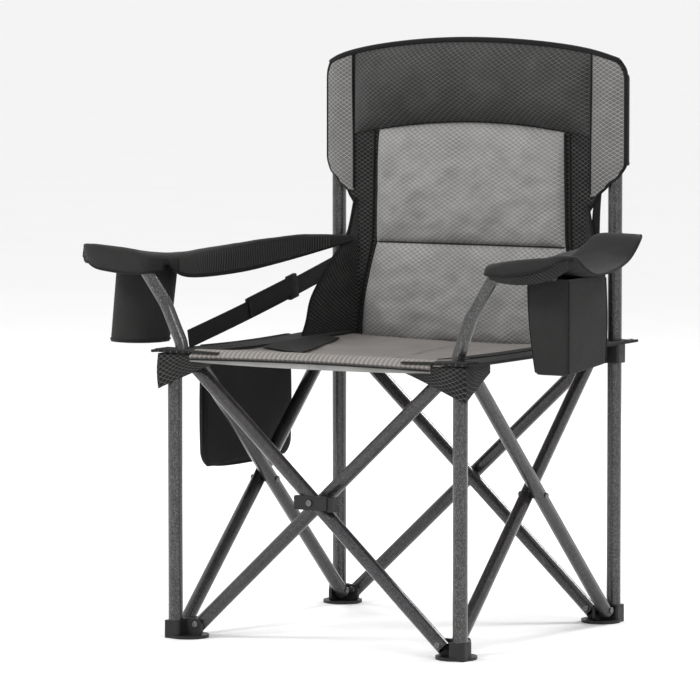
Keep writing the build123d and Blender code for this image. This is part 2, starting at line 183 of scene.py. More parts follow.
class Finish:
    """A node material under construction, with short names for the nodes in it."""

    def __init__(self, name, color, roughness, metallic=0.0, sheen=0.0, specular=0.5):
        self.material = bpy.data.materials.new(name)
        self.material.use_nodes = True
        self.tree = self.material.node_tree
        self.shader = self.tree.nodes["Principled BSDF"]
        self.shader.inputs["Base Color"].default_value = (*color, 1)
        self.shader.inputs["Roughness"].default_value = roughness
        self.shader.inputs["Metallic"].default_value = metallic
        self.shader.inputs["Specular IOR Level"].default_value = specular
        if sheen:
            self.shader.inputs["Sheen Weight"].default_value = sheen
            self.shader.inputs["Sheen Roughness"].default_value = 0.45
        self.place = self.tree.nodes.new("ShaderNodeTexCoord")

    def link(self, value, socket):
        if isinstance(value, bpy.types.NodeSocket):
            self.tree.links.new(value, socket)
        else:
            socket.default_value = value

    def math(self, kind, a, b=0.0, c=0.0):
        node = self.tree.nodes.new("ShaderNodeMath")
        node.operation = kind
        for value, socket in zip((a, b, c), node.inputs):
            self.link(value, socket)
        return node.outputs[0]

    def fit(self, value, low, high, to_low=0.0, to_high=1.0):
        node = self.tree.nodes.new("ShaderNodeMapRange")
        self.link(value, node.inputs["Value"])
        for name, number in zip(("From Min", "From Max", "To Min", "To Max"), (low, high, to_low, to_high)):
            node.inputs[name].default_value = number
        return node.outputs[0]

    def stretched(self, scale, source="Object", turn=(0, 0, 0)):
        node = self.tree.nodes.new("ShaderNodeMapping")
        node.inputs["Scale"].default_value = scale
        node.inputs["Rotation"].default_value = turn
        self.link(self.place.outputs[source], node.inputs["Vector"])
        return node.outputs[0]

    def noise(self, size, detail=3.0, where=None):
        node = self.tree.nodes.new("ShaderNodeTexNoise")
        node.inputs["Scale"].default_value = 1 / (size * MM)
        node.inputs["Detail"].default_value = detail
        self.link(where or self.place.outputs["Object"], node.inputs["Vector"])
        return node.outputs[0]

    def cells(self, size):
        node = self.tree.nodes.new("ShaderNodeTexVoronoi")
        node.inputs["Scale"].default_value = 1 / (size * MM)
        self.link(self.place.outputs["Object"], node.inputs["Vector"])
        return node.outputs["Distance"]

    def mix(self, amount, a, b):
        node = self.tree.nodes.new("ShaderNodeMix")
        node.data_type = "RGBA"
        self.link(amount, node.inputs["Factor"])
        for value, socket in ((a, node.inputs[6]), (b, node.inputs[7])):
            self.link((*value, 1) if isinstance(value, tuple) else value, socket)
        return node.outputs[2]

    def color(self, value):
        self.link(value, self.shader.inputs["Base Color"])

    def bump(self, height, distance, strength=1.0):
        node = self.tree.nodes.new("ShaderNodeBump")
        node.inputs["Distance"].default_value = distance * MM
        node.inputs["Strength"].default_value = strength
        self.link(height, node.inputs["Height"])
        old = self.shader.inputs["Normal"].links
        if old:
            self.link(old[0].from_socket, node.inputs["Normal"])
        self.link(node.outputs[0], self.shader.inputs["Normal"])

    def cloth_axes(self):
        node = self.tree.nodes.new("ShaderNodeSeparateXYZ")
        self.link(self.place.outputs["UV"], node.inputs[0])
        return node.outputs[0], node.outputs[1]

    def lattice(self, wide, tall, line):
        """Crossing diagonal threads on the cloth's own map, 1 on a thread and 0 between."""
        across, along = self.cloth_axes()
        a = self.math("DIVIDE", across, wide * MM)
        b = self.math("DIVIDE", along, tall * MM)
        lines = [self.math("PINGPONG", self.math(kind, a, b), 0.5) for kind in ("ADD", "SUBTRACT")]
        return self.fit(self.math("MINIMUM", *lines), line, line * 0.4)

    def weave(self, pitch):
        """Small over-and-under threads on the cloth's own map."""
        across, along = self.cloth_axes()
        waves = [self.math("SINE", self.math("MULTIPLY", axis, 2 * math.pi / (pitch * MM)))
                 for axis in (across, along)]
        return self.math("MULTIPLY", *waves)


def hammered_paint(name, base, fleck, hue):
    """Dark metallic paint with fine pale flecks that run a little along the tube."""
    f = Finish(name, base, 0.34, metallic=0.45)
    f.shader.inputs["Coat Weight"].default_value = 0.55
    f.shader.inputs["Coat Roughness"].default_value = 0.16
    flow = f.stretched((1, 1, 0.5))
    coarse = f.noise(1.5, 3, flow)
    fine = f.noise(0.6, 2)
    spots = f.fit(f.math("ADD", coarse, f.math("MULTIPLY", fine, 0.6)), 0.80, 1.06)
    cloudy = f.mix(f.fit(f.noise(34, 3), 0.35, 0.65), base, hue)
    f.color(f.mix(spots, cloudy, fleck))
    f.link(f.fit(spots, 0, 1, 0.34, 0.24), f.shader.inputs["Roughness"])
    f.bump(f.cells(2.0), 0.12, 0.5)
    f.bump(fine, 0.06, 0.5)
    return f.material


def moulded_plastic():
    f = Finish("moulded_black_plastic", (0.009, 0.009, 0.009), 0.42, specular=0.3)
    f.color(f.mix(f.noise(24), (0.006, 0.006, 0.006), (0.014, 0.014, 0.014)))
    f.link(f.fit(f.noise(9), 0.3, 0.7, 0.38, 0.58), f.shader.inputs["Roughness"])
    f.bump(f.noise(0.7, 2), 0.12, 0.6)
    return f.material


def rivet_steel():
    f = Finish("rivet_steel", (0.12, 0.118, 0.115), 0.36, metallic=0.9)
    f.color(f.mix(f.noise(3), (0.07, 0.068, 0.066), (0.19, 0.187, 0.183)))
    f.bump(f.noise(0.9, 3), 0.08, 0.6)
    return f.material


def lattice_cloth(name, dark, light, thread, wide=12.0, tall=7.6, line=0.06, rough=0.85, amount=0.75):
    """Cloth printed with a diamond lattice of pale threads."""
    f = Finish(name, dark, rough, sheen=0.04, specular=0.14)
    ground = f.mix(f.fit(f.noise(60, 2), 0.3, 0.7), dark, light)
    threads = f.lattice(wide, tall, line)
    patchy = f.math("MULTIPLY", threads, f.fit(f.noise(26, 2), 0.3, 0.7, amount * 0.55, amount))
    f.color(f.mix(patchy, ground, thread))
    f.bump(threads, 0.25, 0.5)
    f.bump(f.weave(1.3), 0.12, 0.7)
    f.bump(f.noise(16, 3), 0.8, 0.5)
    return f.material


def plain_weave(name, dark, light, pitch=2.4, dots=0.35, rough=0.82):
    """Coarse dark cloth with small pale dots where the threads cross."""
    f = Finish(name, dark, rough, sheen=0.03, specular=0.14)
    ground = f.mix(f.fit(f.noise(48, 2), 0.3, 0.7), dark, tuple(c * 1.35 for c in dark))
    spots = f.math("MULTIPLY", f.fit(f.weave(pitch), 0.35, 0.9), dots)
    f.color(f.mix(spots, ground, light))
    f.bump(f.weave(pitch), 0.3, 0.8)
    f.bump(f.noise(20, 3), 0.8, 0.5)
    return f.material


def ribbed_cloth(name, dark, light, pitch, along=False, rough=0.8, low=0.2):
    """Cloth with ribs that run along or across the piece."""
    f = Finish(name, dark, rough, sheen=0.04, specular=0.14)
    axis = f.cloth_axes()[1 if along else 0]
    ribs = f.math("SINE", f.math("MULTIPLY", axis, 2 * math.pi / (pitch * MM)))
    ground = f.mix(f.noise(25), dark, tuple(c * 1.3 for c in dark))
    f.color(f.mix(f.fit(ribs, low, 1.0, 0, 0.8), ground, light))
    f.bump(ribs, 0.5, 0.8)
    f.bump(f.noise(1.4, 2), 0.1, 0.6)
    return f.material


def shades(*levels):
    """A slightly warm grey for each level of brightness."""
    return [(level, level * 0.985, level * 0.965) for level in levels]


GUNMETAL = hammered_paint("hammered_gunmetal", *shades(0.021, 0.15, 0.012))
CROSS_PAINT = hammered_paint("hammered_gunmetal_cross", (0.018, 0.016, 0.018), (0.11, 0.102, 0.108),
                             (0.010, 0.009, 0.011))
PLASTIC = moulded_plastic()
STEEL = rivet_steel()
PAD_CLOTH = lattice_cloth("light_grey_lattice", *shades(0.165, 0.205, 0.58))
SEAT_CLOTH = lattice_cloth("seat_grey_lattice", (0.185, 0.172, 0.163), (0.215, 0.2, 0.19), (0.38, 0.36, 0.345),
                           wide=9, tall=6, line=0.08, amount=0.5)
WING_MESH = lattice_cloth("wing_grey_mesh", *shades(0.10, 0.125, 0.46), line=0.07)
DARK_MESH = lattice_cloth("charcoal_lattice_mesh", *shades(0.006, 0.011, 0.15), rough=0.8)
BOLSTER_CLOTH = lattice_cloth("bolster_charcoal", *shades(0.024, 0.034, 0.17), line=0.06, rough=0.75, amount=0.7)
DRAPE_MESH = lattice_cloth("fine_charcoal_mesh", *shades(0.007, 0.012, 0.11), wide=7, tall=6, line=0.07, amount=0.55)
DOTTED_WEAVE = plain_weave("dotted_weave", *shades(0.011, 0.085), pitch=4.2, dots=0.5)
ARM_CLOTH = plain_weave("armrest_cloth", *shades(0.013, 0.055), pitch=2.6, dots=0.4, rough=0.6)
ARM_RIB_RUN = ribbed_cloth("armrest_rib", *shades(0.011, 0.075), pitch=5.2, along=True, low=0.5)
BINDING = ribbed_cloth("black_binding", *shades(0.006, 0.022), pitch=2.2)
SEAT_RIB = ribbed_cloth("seat_rib", (0.145, 0.135, 0.128), (0.31, 0.295, 0.28), 9, low=0.4)
HEM_CLOTH = plain_weave("pale_hem", *shades(0.22, 0.36), pitch=1.8, dots=0.4)
SEAM_TAPE = plain_weave("seam_tape", *shades(0.016, 0.06), pitch=1.8, dots=0.4)
POCKET_CLOTH = plain_weave("pocket_cloth", *shades(0.006, 0.02), pitch=1.6, dots=0.4, rough=0.7)
WEBBING = ribbed_cloth("black_webbing", *shades(0.006, 0.02), pitch=1.8, along=True)

# ---------------------------------------------------------------- making cloth pieces


def deselect():
    if bpy.context.object and bpy.context.object.mode != "OBJECT":
        bpy.ops.object.mode_set(mode="OBJECT")
    bpy.ops.object.select_all(action="DESELECT")


def pick(piece):
    deselect()
    piece.select_set(True)
    bpy.context.view_layer.objects.active = piece
    return piece


def apply_modifier(piece, kind, **settings):
    pick(piece)
    modifier = piece.modifiers.new(kind.title(), kind)
    for name, value in settings.items():
        setattr(modifier, name, value)
    bpy.ops.object.modifier_apply(modifier=modifier.name)


def spline(values, t):
    """A smooth curve through evenly spaced values, t from 0 to 1."""
    last = len(values) - 1
    at = min(max(t, 0.0), 1.0) * last
    i = min(int(at), last - 1)
    f = at - i
    p1, p2 = values[i], values[i + 1]
    p0 = values[i - 1] if i else p1 * 2 - p2
    p3 = values[i + 2] if i + 2 <= last else p2 * 2 - p1
    return 0.5 * (2 * p1 + (p2 - p0) * f + (2 * p0 - 5 * p1 + 4 * p2 - p3) * f * f
                  + (3 * p1 - p0 - 3 * p2 + p3) * f ** 3)


def through(rows):
    """A surface through rows of points: u runs along a row, v from row to row."""
    table = [[Vector(p) for p in row] for row in rows]
    return lambda u, v: spline([spline(row, u) for row in table], v)


def mirrored(place, side):
    """The same surface on the other side, kept facing the same way."""
    if side > 0:
        return place
    flip = Vector((-1, 1, 1))
    return lambda u, v: place(1 - u, v) * flip


def grid(name, columns, rows, place, wide, tall):
    """A cloth grid shaped point by point; its own map is in metres of cloth."""
    deselect()
    bpy.ops.mesh.primitive_grid_add(x_subdivisions=columns, y_subdivisions=rows, size=1, location=(0, 0, 0))
    piece = bpy.context.object
    piece.name = name
    mesh = piece.data
    mesh.name = name
    for vertex in mesh.vertices:
        vertex.co = place(vertex.co.x + 0.5, vertex.co.y + 0.5) * MM
    for loop in mesh.uv_layers[0].data:
        loop.uv = (loop.uv[0] * wide * MM, loop.uv[1] * tall * MM)
    return piece


def face_out(piece, merge=0.0):
    """Turns every face outwards, with doubles merged first where asked."""
    pick(piece)
    bpy.ops.object.mode_set(mode="EDIT")
    bpy.ops.mesh.select_all(action="SELECT")
    if merge:
        bpy.ops.mesh.remove_doubles(threshold=merge * MM)
    bpy.ops.mesh.normals_make_consistent(inside=False)
    bpy.ops.object.mode_set(mode="OBJECT")


def dress(piece, material, smooth=40):
    """Gives a piece its one material, and smooth shading below an angle."""
    piece.data.materials.clear()
    piece.data.materials.append(material)
    pick(piece)
    bpy.ops.object.shade_smooth_by_angle(angle=math.radians(smooth))
    return piece


class Home:
    """Where a soft piece rides and how it crumples as the chair folds."""

    def __init__(self, body, axis, anchor, keep):
        self.body = body
        self.squash = {"axis": axis, "anchor": anchor, "keep": keep}

    def take(self, piece, slot, *nodes):
        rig.ride(piece, self.body)
        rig.slot(piece, slot)
        if nodes:
            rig.replaces(piece, *nodes)
        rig.squash(piece, FOLD, **self.squash)
        return piece


BACK = Home("rear_left_leg", (1, 0, 0), (-POST * MM, 0, 0), 0.2302)
SEAT = {side: Home(f"seat_{name}", (0, 1, 0), (0, 0.236, 0), 0.093) for side, name in ((-1, "left"), (1, "right"))}
BAND = {side: Home(f"rear_{name}_hub", (0, 1, 0), (0, 0.278, 0), 0.23) for side, name in ((-1, "left"), (1, "right"))}
ARM = {side: Home(f"armrest_{name}", (0, 1, 0), (0, 0.262, 0), 0.417) for side, name in ((-1, "left"), (1, "right"))}
NAMES = {-1: "left", 1: "right"}


def sheet_piece(name, columns, rows, place, wide, tall, material, thick=1.6, smooth=40):
    """A hemmed sheet of cloth of even thickness."""
    piece = grid(name, columns, rows, place, wide, tall)
    face_out(piece)
    area = sum(p.area for p in piece.data.polygons)
    apply_modifier(piece, "SOLIDIFY", thickness=thick * MM, offset=0, use_even_offset=True)
    dress(piece, material, smooth)
    piece["cloth_area"] = area
    return piece


def declare_sheet(piece, wide, tall, held, rests_on):
    """States the flat size of a sheet, scaled up where its shape is larger."""
    area = piece["cloth_area"]
    scale = max(1.0, area / (wide * tall * MM * MM)) ** 0.5 * 1.001
    size = (wide * MM * scale, tall * MM * scale)
    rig.sheet(piece, flat=size, held=held, rests_on=rests_on, area=max(area, 0.31 * size[0] * size[1]))


def flat_map(piece):
    """Maps a piece that faces the front straight from its width and height, so its lattice stays even."""
    mesh = piece.data
    for loop, spot in zip(mesh.loops, mesh.uv_layers[0].data):
        co = mesh.vertices[loop.vertex_index].co
        spot.uv = (co.x, co.z)
    return piece


def pad_piece(name, columns, rows, place, wide, tall, thick, material, crown=0.5, wrinkle=0.0, back=0.25, seed=0.0,
              square=6.0):
    """A stuffed pad: two skins sewn together at the edge, crowned between its seams."""
    piece = grid(name, columns, rows, place, wide, tall)
    points = [v.co.copy() for v in piece.data.vertices]
    spots = {}
    for polygon in piece.data.polygons:
        for index in polygon.loop_indices:
            loop = piece.data.loops[index]
            spots[loop.vertex_index] = piece.data.uv_layers[0].data[index].uv.copy()
    normals = [v.normal.copy() for v in piece.data.vertices]
    apply_modifier(piece, "SOLIDIFY", thickness=0.5 * MM, offset=0)
    count = len(points)
    for i in range(count):
        u, v = spots[i].x / (wide * MM), spots[i].y / (tall * MM)
        rise = (max(0.0, 1 - abs(2 * u - 1) ** 6) * max(0.0, 1 - abs(2 * v - 1) ** square)) ** crown
        spot = Vector((spots[i].x * 14 + seed, spots[i].y * 14, seed))
        crease = noise.fractal(spot, 0.9, 2.1, 3) * wrinkle * MM * min(1.0, rise * 1.4)
        piece.data.vertices[i].co = points[i] + normals[i] * (rise * thick * (1 - back) * MM + crease)
        piece.data.vertices[count + i].co = points[i] - normals[i] * (rise * thick * back * MM)
    face_out(piece)
    dress(piece, material, 60)
    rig.padded(piece, fill=0.6)
    return piece


def piping(name, points, radius, material, closed=False):
    """A sewn edge cord along points, in millimetres."""
    deselect()
    bpy.ops.curve.primitive_nurbs_path_add(location=(0, 0, 0))
    curve = bpy.context.object
    curve.name = name
    data = curve.data
    data.splines.clear()
    line = data.splines.new("NURBS")
    line.points.add(len(points) - 1)
    for point, place in zip(line.points, points):
        point.co = (*(Vector(place) * MM), 1)
    line.order_u = 3
    line.use_endpoint_u = not closed
    line.use_cyclic_u = closed
    line.resolution_u = 4
    data.bevel_depth = radius * MM
    data.bevel_resolution = 3
    data.use_fill_caps = True
    data.use_path = False
    pick(curve)
    bpy.ops.object.convert(target="MESH")
    piece = bpy.context.object
    uvs = piece.data.uv_layers.new(name="cloth") if not piece.data.uv_layers else piece.data.uv_layers[0]
    for loop, spot in zip(piece.data.loops, uvs.data):
        co = piece.data.vertices[loop.vertex_index].co
        spot.uv = (co.x + co.y + co.z, co.z)
    return dress(piece, material, 60)


# ---------------------------------------------------------------- hard parts


def paint_frame():
    """Finishes for the hard parts of the frame, which keep their own meshes."""
    finish = {"tube_paint": GUNMETAL, "foot_plastic": PLASTIC, "rivet_steel": STEEL}
    slots = {part["node"]: part["material_slot"] for part in frame["record"]["subparts"]}
    for name, node in frame["nodes"].items():
        material = finish.get(slots[name])
        if material:
            if name.endswith("cross_tube"):
                material = CROSS_PAINT
            for index in range(len(node.material_slots)):
                node.material_slots[index].material = material
            if not node.material_slots:
                node.data.materials.append(material)


# ---------------------------------------------------------------- back

PANEL_Y = 262.0
BACK_LOW, SHOULDER, CROWN_RISE = 470.0, 967.0, 49.0
BACK_HALF = 300.0
# The back bows between the posts, and wraps round them beyond this half width.
FREE_HALF, BOW_DEEP = 262.0, 9.0
WRAP_WIDE, WRAP_DEEP = 41.0, 17.0
WING_LOW, WING_INNER = 745.0, 238.0
CUSHION_LOW, CUSHION_SEAM, CUSHION_TOP = 478.0, 653.0, 858.0
ARCH_TOP, ARCH_DROP, ARCH_HALF = 871.0, 23.5, 234.0
PAD_AHEAD = 3.0
# Half width of the back sheet by height, and how fast the arched top falls away on each side.
HALF_WIDTHS = [(470, 246), (540, 236), (620, 230), (685, 229), (716, 235), (740, 248), (762, 270), (782, 292),
               (800, 300), (948, 300), (960, 297), (968, 288)]
ARCH = {-1: (0.72, 0.28), 1: (0.55, 0.25)}


def half_width(z):
    """Half the width of the back sheet at a height."""
    for (z0, w0), (z1, w1) in zip(HALF_WIDTHS, HALF_WIDTHS[1:]):
        if z <= z1:
            t = max(0.0, (z - z0) / (z1 - z0))
            return w0 + (w1 - w0) * (t * t * (3 - 2 * t) if w1 - w0 > 0 else t)
    return HALF_WIDTHS[-1][1]


def crown_at(x):
    """Height of the arched top edge."""
    a = abs(x) / BACK_HALF
    broad, tight = ARCH[1 if x > 0 else -1]
    return SHOULDER + CROWN_RISE * (1 - broad * a ** 2 - tight * a ** 9)


def back_y(x, z):
    """The stretched back bows rearwards between the posts and wraps round them at its edges."""
    low = min(1.0, max(0.0, (z - BACK_LOW) / 500))
    bow = BOW_DEEP * (1 - min(1.0, (x / FREE_HALF) ** 2)) * (0.4 + 0.6 * low)
    wrap = max(0.0, abs(x) - FREE_HALF) / WRAP_WIDE
    return PANEL_Y + bow + WRAP_DEEP * wrap ** 2


def back_sheet_place(u, v):
    z = BACK_LOW + v * (SHOULDER - BACK_LOW)
    x = (2 * u - 1) * half_width(z)
    z += (crown_at(x) - SHOULDER) * v ** 4
    return Vector((x, back_y(x, z), z))


def pad_place(left, right, low, high):
    """A patch just ahead of the back sheet; its bounds may depend on the other direction."""
    def place(u, v):
        x0, x1 = left(v), right(v)
        x = x0 + (x1 - x0) * u
        z0, z1 = low(x), high(x)
        z = z0 + (z1 - z0) * v
        return Vector((x, back_y(x, z) - PAD_AHEAD, z))
    return place


def flat(value):
    return lambda _: value


def arch(x):
    """Height of the bolster's arched lower seam."""
    return ARCH_TOP - ARCH_DROP * ((x - 5) / ARCH_HALF) ** 2


def cushion_edge(z):
    """Half the width of the cushions at a height: the lower one spreads towards the seat."""
    below = min(1.0, max(0.0, (CUSHION_SEAM - z) / (CUSHION_SEAM - CUSHION_LOW)))
    above = max(0.0, (z - CUSHION_SEAM) / (CUSHION_TOP - CUSHION_SEAM))
    return 191 + 30 * math.sin(math.pi / 2 * below) - 4 * above


def build_back():
    """The stretched sheet, the bolster, two pads, the wings, and the seams and bindings over them."""
    sheet = sheet_piece("back_sheet", 60, 70, back_sheet_place, 600, 520, DARK_MESH, 2.4)
    declare_sheet(sheet, 600, 520, "stretched", ["rear_left_post", "rear_right_post"])
    BACK.take(flat_map(sheet), "mesh_fabric", "back_panel")
    bolster = pad_piece(
        "headrest_bolster_pad", 72, 40,
        pad_place(lambda v: 2 + v - WING_INNER, lambda v: WING_INNER + 2 * v, arch, lambda x: crown_at(x) - 5),
        474, 150, 46, BOLSTER_CLOTH, 0.75, 4.0, back=0.05, seed=3.1, square=2.2)
    BACK.take(flat_map(bolster), "dark_fabric", "headrest_bolster")
    upper = pad_piece(
        "upper_back_cushion", 84, 52,
        pad_place(lambda v: -192 + 4 * v, lambda v: 190 - 5 * v, flat(CUSHION_SEAM + 1), lambda x: arch(x) - 2),
        376, 205, 22, PAD_CLOTH, 0.55, 8.0, back=0.05, seed=7.7, square=3.5)
    BACK.take(flat_map(upper), "pad_fabric", "upper_back_pad")

    def side_seam(v):
        return cushion_edge(CUSHION_LOW + (CUSHION_SEAM - CUSHION_LOW) * v)

    lower = pad_piece(
        "lower_back_cushion", 84, 44,
        pad_place(lambda v: -side_seam(v), side_seam, flat(CUSHION_LOW), flat(CUSHION_SEAM)),
        400, 175, 22, PAD_CLOTH, 0.55, 6.5, back=0.05, seed=11.3, square=3.5)
    BACK.take(flat_map(lower), "pad_fabric", "lower_back_pad")
    for side in (-1, 1):
        name = NAMES[side]

        def wing(u, v):
            z = WING_LOW + v * (SHOULDER - WING_LOW)
            inner = WING_INNER + 2 * v
            outer = max(half_width(z) - 3, inner + 0.5)
            x = inner + (outer - inner) * u
            z += (crown_at(side * x) - SHOULDER - 6) * v ** 4
            return Vector((x, back_y(x, z) - 2.2, z))

        panel = sheet_piece(f"{name}_wing_panel", 18, 48, mirrored(wing, side), 62, 230, WING_MESH, 1.2)
        declare_sheet(panel, 62, 230, "stretched", ["back_sheet"])
        BACK.take(flat_map(panel), "mesh_fabric")
        seam = [(side * x, back_y(x, z) - 3.4, z) for x, z in
                [(240, crown_at(side * 240) - 4), (240, 930), (239, 880), (238, 820), (238, 748)]]
        BACK.take(piping(f"{name}_wing_seam", seam, 1.6, BINDING), "dark_fabric")
        for tag, out, radius in (("inner", 0, 2.2), ("outer", 9, 1.5)):
            strip = [(side * (cushion_edge(z) + out), back_y(cushion_edge(z), z) - 3.2, z)
                     for z in (852, 780, 700, 655, 620, 580, 530, 484)]
            BACK.take(piping(f"{name}_cushion_{tag}_seam", strip, radius, BINDING), "dark_fabric")
    # A dark cord along the cross seam between the two cushions: the seam is real, but the cord's dark colour is painted
    # shade of the shallow crease there.
    crease_shade_seam = [(x, back_y(x, 655) - 4.5, CUSHION_SEAM + 0.5) for x in range(-186, 187, 31)]
    BACK.take(piping("cushion_seam_painted_shade", crease_shade_seam, 1.4, SEAM_TAPE), "dark_fabric")
    rim = [back_sheet_place(0, 0.5 + i / 60) for i in range(0, 31)]
    top = [back_sheet_place(i / 40, 1) for i in range(0, 41)]
    far = [back_sheet_place(1, 0.5 + i / 60) for i in range(30, -1, -1)]
    BACK.take(piping("back_top_binding", [p + Vector((0, -1, -1)) for p in top], 5.0, BINDING), "dark_fabric")
    for name, run in (("left_wing_binding", rim), ("right_wing_binding", far)):
        BACK.take(piping(name, run, 3.2, BINDING), "dark_fabric")


SLEEVE_LOW, SLEEVE_TALL, SLEEVE_Y = 794.0, 170.0, 280.5
SLEEVE_HALF_X, SLEEVE_HALF_Y = 24.0, 14.5


def build_sleeves():
    """Pockets on the back's upper corners that the rear posts stand in."""
    for side in (-1, 1):
        name = NAMES[side]
        body = "rear_left_leg" if side < 0 else "rear_right_leg"

        def ring(u, v):
            angle = -2 * math.pi * u
            top = max(0.0, (v - 0.93) / 0.07)
            grow = math.sqrt(max(0.0, 1 - top * top))
            c, s = math.cos(angle), math.sin(angle)
            x = POST + SLEEVE_HALF_X * grow * abs(c) ** 0.8 * (1 if c > 0 else -1)
            y = SLEEVE_Y + SLEEVE_HALF_Y * grow * abs(s) ** 0.8 * (1 if s > 0 else -1)
            y = max(y, back_y(x, SHOULDER) + 2.2)
            z = SLEEVE_LOW + SLEEVE_TALL * v + (0 if v > 0.05 else (x - POST) * 0.25)
            return Vector((x, y, z))

        sleeve = grid(f"{name}_post_pocket", 40, 40, mirrored(ring, side), 130, 176)
        face_out(sleeve, 0.05)
        apply_modifier(sleeve, "SOLIDIFY", thickness=1.6 * MM, offset=-1)
        dress(sleeve, DARK_MESH, 60)
        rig.ride(sleeve, body)
        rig.slot(sleeve, "dark_fabric")
        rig.replaces(sleeve, f"{name}_post_sleeve")


def build_gussets():
    """Dark side pieces that spread from the waist of the back to the sides of the seat."""
    rows = [
        [(240, 262, 484), (254, 200, 488), (263, 123, 491)],
        [(237, 262, 520), (252, 205, 517), (263, 138, 515)],
        [(235, 262, 556), (250, 212, 554), (262, 151, 553)],
        [(232, 262, 592), (246, 224, 590), (257, 178, 589)],
        [(230, 262, 630), (241, 238, 628), (251, 210, 626)],
        [(229, 262, 668), (238, 258, 666), (247, 254, 664)],
        [(230, 263, 730), (232, 261, 731), (234, 259, 732)],
    ]
    for side in (-1, 1):
        name = NAMES[side]
        place = mirrored(through(rows), side)
        gusset = sheet_piece(f"{name}_side_gusset", 24, 40, place, 130, 250, DARK_MESH, 1.8)
        declare_sheet(gusset, 130, 250, "stretched", ["back_sheet"])
        BACK.take(gusset, "dark_fabric", f"{name}_back_gusset")
        free = 1 if side > 0 else 0
        edge = [place(free, i / 20) for i in range(21)]
        BACK.take(piping(f"{name}_gusset_binding", edge, 2.8, BINDING), "dark_fabric")


def build_post_webbing():
    """A tapering strip of webbing from the right armrest's tail up to the wing."""
    rows = [
        [(240, 262, 672), (256, 261, 672)],
        [(243, 264, 730), (257, 263, 730)],
        [(254, 268, 790), (261, 267, 790)],
    ]
    strip = sheet_piece("post_webbing", 4, 20, through(rows), 16, 120, WEBBING, 1.8)
    declare_sheet(strip, 16, 120, "stretched", ["rear_right_post"])
    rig.ride(strip, "rear_right_leg")
    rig.slot(strip, "webbing")


# ---------------------------------------------------------------- seat

SEAT_FRONT, SEAT_BACK = -305.0, 254.0
SEAT_SIDE, SEAT_TOP, HUB_HALF = 234.0, 494.5, 300.0
# The front roll: how deep its curve is, how far its ribs reach back, and how far its edge drops.
ROLL_DEEP, ROLL_BACK, ROLL_DROP = 30.0, 74.0, 18.0


def seat_z(x, y):
    """Height of the seat's top surface: level at the hubs, lower in the middle and at the front."""
    a = min(1.0, abs(x) / HUB_HALF)
    settle = min(1.0, max(0.0, (y - SEAT_FRONT) / 160))
    hang = (1 + 11 * settle) * (1 - a * a)
    lengthwise = min(1.0, max(0.0, (y - SEAT_FRONT) / (SEAT_BACK - SEAT_FRONT)))
    bowl = 10 * math.sin(math.pi * lengthwise) * (1 - a ** 2)
    front = 1 - min(1.0, max(0.0, (y - SEAT_FRONT) / ROLL_DEEP))
    roll = ROLL_DROP * front ** 2.4 * (1 - 0.5 * (abs(x) / HUB_HALF) ** 2)
    ridge = 8 * (1 - a * a) * math.exp(-((y - SEAT_FRONT - ROLL_DEEP) / 42) ** 2)
    return SEAT_TOP + ridge - hang - bowl - roll


def seat_rim(x):
    """The front edge runs straight between the hubs and draws back a little in the middle."""
    return SEAT_FRONT + 6 * (1 - min(1.0, abs(x) / 290) ** 2)


